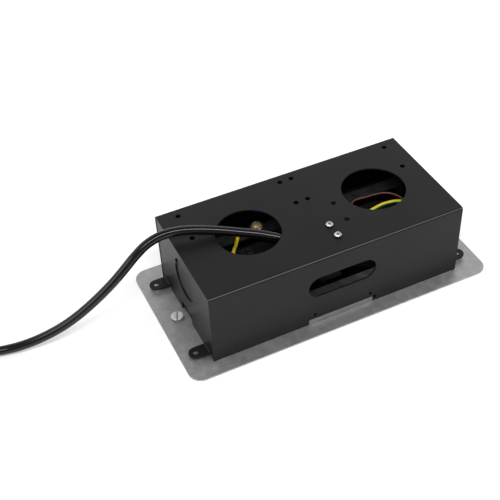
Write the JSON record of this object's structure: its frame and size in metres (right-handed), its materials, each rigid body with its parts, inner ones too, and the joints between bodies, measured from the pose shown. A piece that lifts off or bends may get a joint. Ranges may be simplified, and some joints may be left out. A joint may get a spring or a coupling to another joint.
{
  "type": "pedestrian traffic light",
  "caption": "Flush pedestrian signal: steel face plate with two round figure lamps and a black folded wall box behind, supply cable out of the back.",
  "frame": {"origin": "centre of the face plate's front face, on which the part lies", "axes": "+X towards the top of the signal as mounted, +Z from the front face towards the wall box, the part lying on its front"},
  "size_m": [0.5777, 0.15, 0.0911],
  "materials": {
    "stainless": "brushed stainless steel with a faint mottle",
    "zinc": "grey zinc-plated sheet",
    "bright_steel": "bright nickel plate",
    "black_coat": "fine-textured black powder coat",
    "brass": "plain brass",
    "black_plastic": "matte black moulding",
    "dark_plastic": "dark grey terminal moulding",
    "red_lens": "tinted clear polycarbonate",
    "green_lens": "tinted clear polycarbonate",
    "rubber": "black closed-cell rubber",
    "opal": "opal diffuser",
    "board": "green circuit board with white lamps",
    "sheath": "smooth black cable sheath",
    "earth_wire": "yellow wire with a green stripe",
    "brown_wire": "brown insulation",
    "blue_wire": "blue insulation"
  },
  "bodies": {
    "signal": {"face_plate": "stainless", "locating_strip_near": "stainless", "locating_strip_far": "stainless", "lamp_tray": "zinc", "red_lens": "red_lens", "red_gasket": "rubber", "red_figure_mask": "black_plastic", "red_diffuser": "opal", "red_led_board": "board", "red_housing": "black_plastic", "green_lens": "green_lens", "green_gasket": "rubber", "green_figure_mask": "black_plastic", "green_diffuser": "opal", "green_led_board": "board", "green_housing": "black_plastic", "crossbar": "zinc", "earth_screw": "brass", "earth_nut": "brass", "earth_ring_terminal": "bright_steel", "terminal_block": "dark_plastic", "driver_module": "black_plastic", "stud_retainer_left": "stainless", "stud_retainer_right": "stainless", "wall_box": "black_coat", "end_wall_left": "black_coat", "end_wall_right": "black_coat", "wire_earth": "earth_wire", "wire_brown": "brown_wire", "wire_blue": "blue_wire", "supply_cable": "sheath", "cable_coil": "sheath", "coil_tie": "sheath", "cable_tail": "sheath", "core_end_brown": "brown_wire", "core_end_blue": "blue_wire", "core_end_earth": "earth_wire"},
    "stud_left": {"stud_left": "bright_steel"},
    "stud_right": {"stud_right": "bright_steel"},
    "clamp_saddle": {"clamp_saddle": "black_plastic"},
    "clamp_screw_1": {"clamp_screw_1": "bright_steel"},
    "clamp_screw_2": {"clamp_screw_2": "bright_steel"}
  },
  "joints": [
    {"name": "stud_left_turn", "type": "hinge", "parent": "signal", "child": "stud_left", "pos_m": [-0.1332, 0.003, 0.003], "axis": [0, 0, 1], "range_deg": [0, 90]},
    {"name": "stud_right_turn", "type": "hinge", "parent": "signal", "child": "stud_right", "pos_m": [0.1302, 0.003, 0.003], "axis": [0, 0, 1], "range_deg": [0, 90]},
    {"name": "clamp_screw_1_turn", "type": "hinge", "parent": "signal", "child": "clamp_screw_1", "pos_m": [0.0066, -0.0255, 0.07], "axis": [0, 0, 1], "range_deg": [0, 1080]},
    {"name": "clamp_screw_2_turn", "type": "hinge", "parent": "signal", "child": "clamp_screw_2", "pos_m": [0.0066, -0.0405, 0.07], "axis": [0, 0, 1], "range_deg": [0, 1080]},
    {"name": "clamp_saddle_slide", "type": "slide", "parent": "signal", "child": "clamp_saddle", "axis": [0, 0, -1], "range_m": [0, 0.0018]}
  ]
}
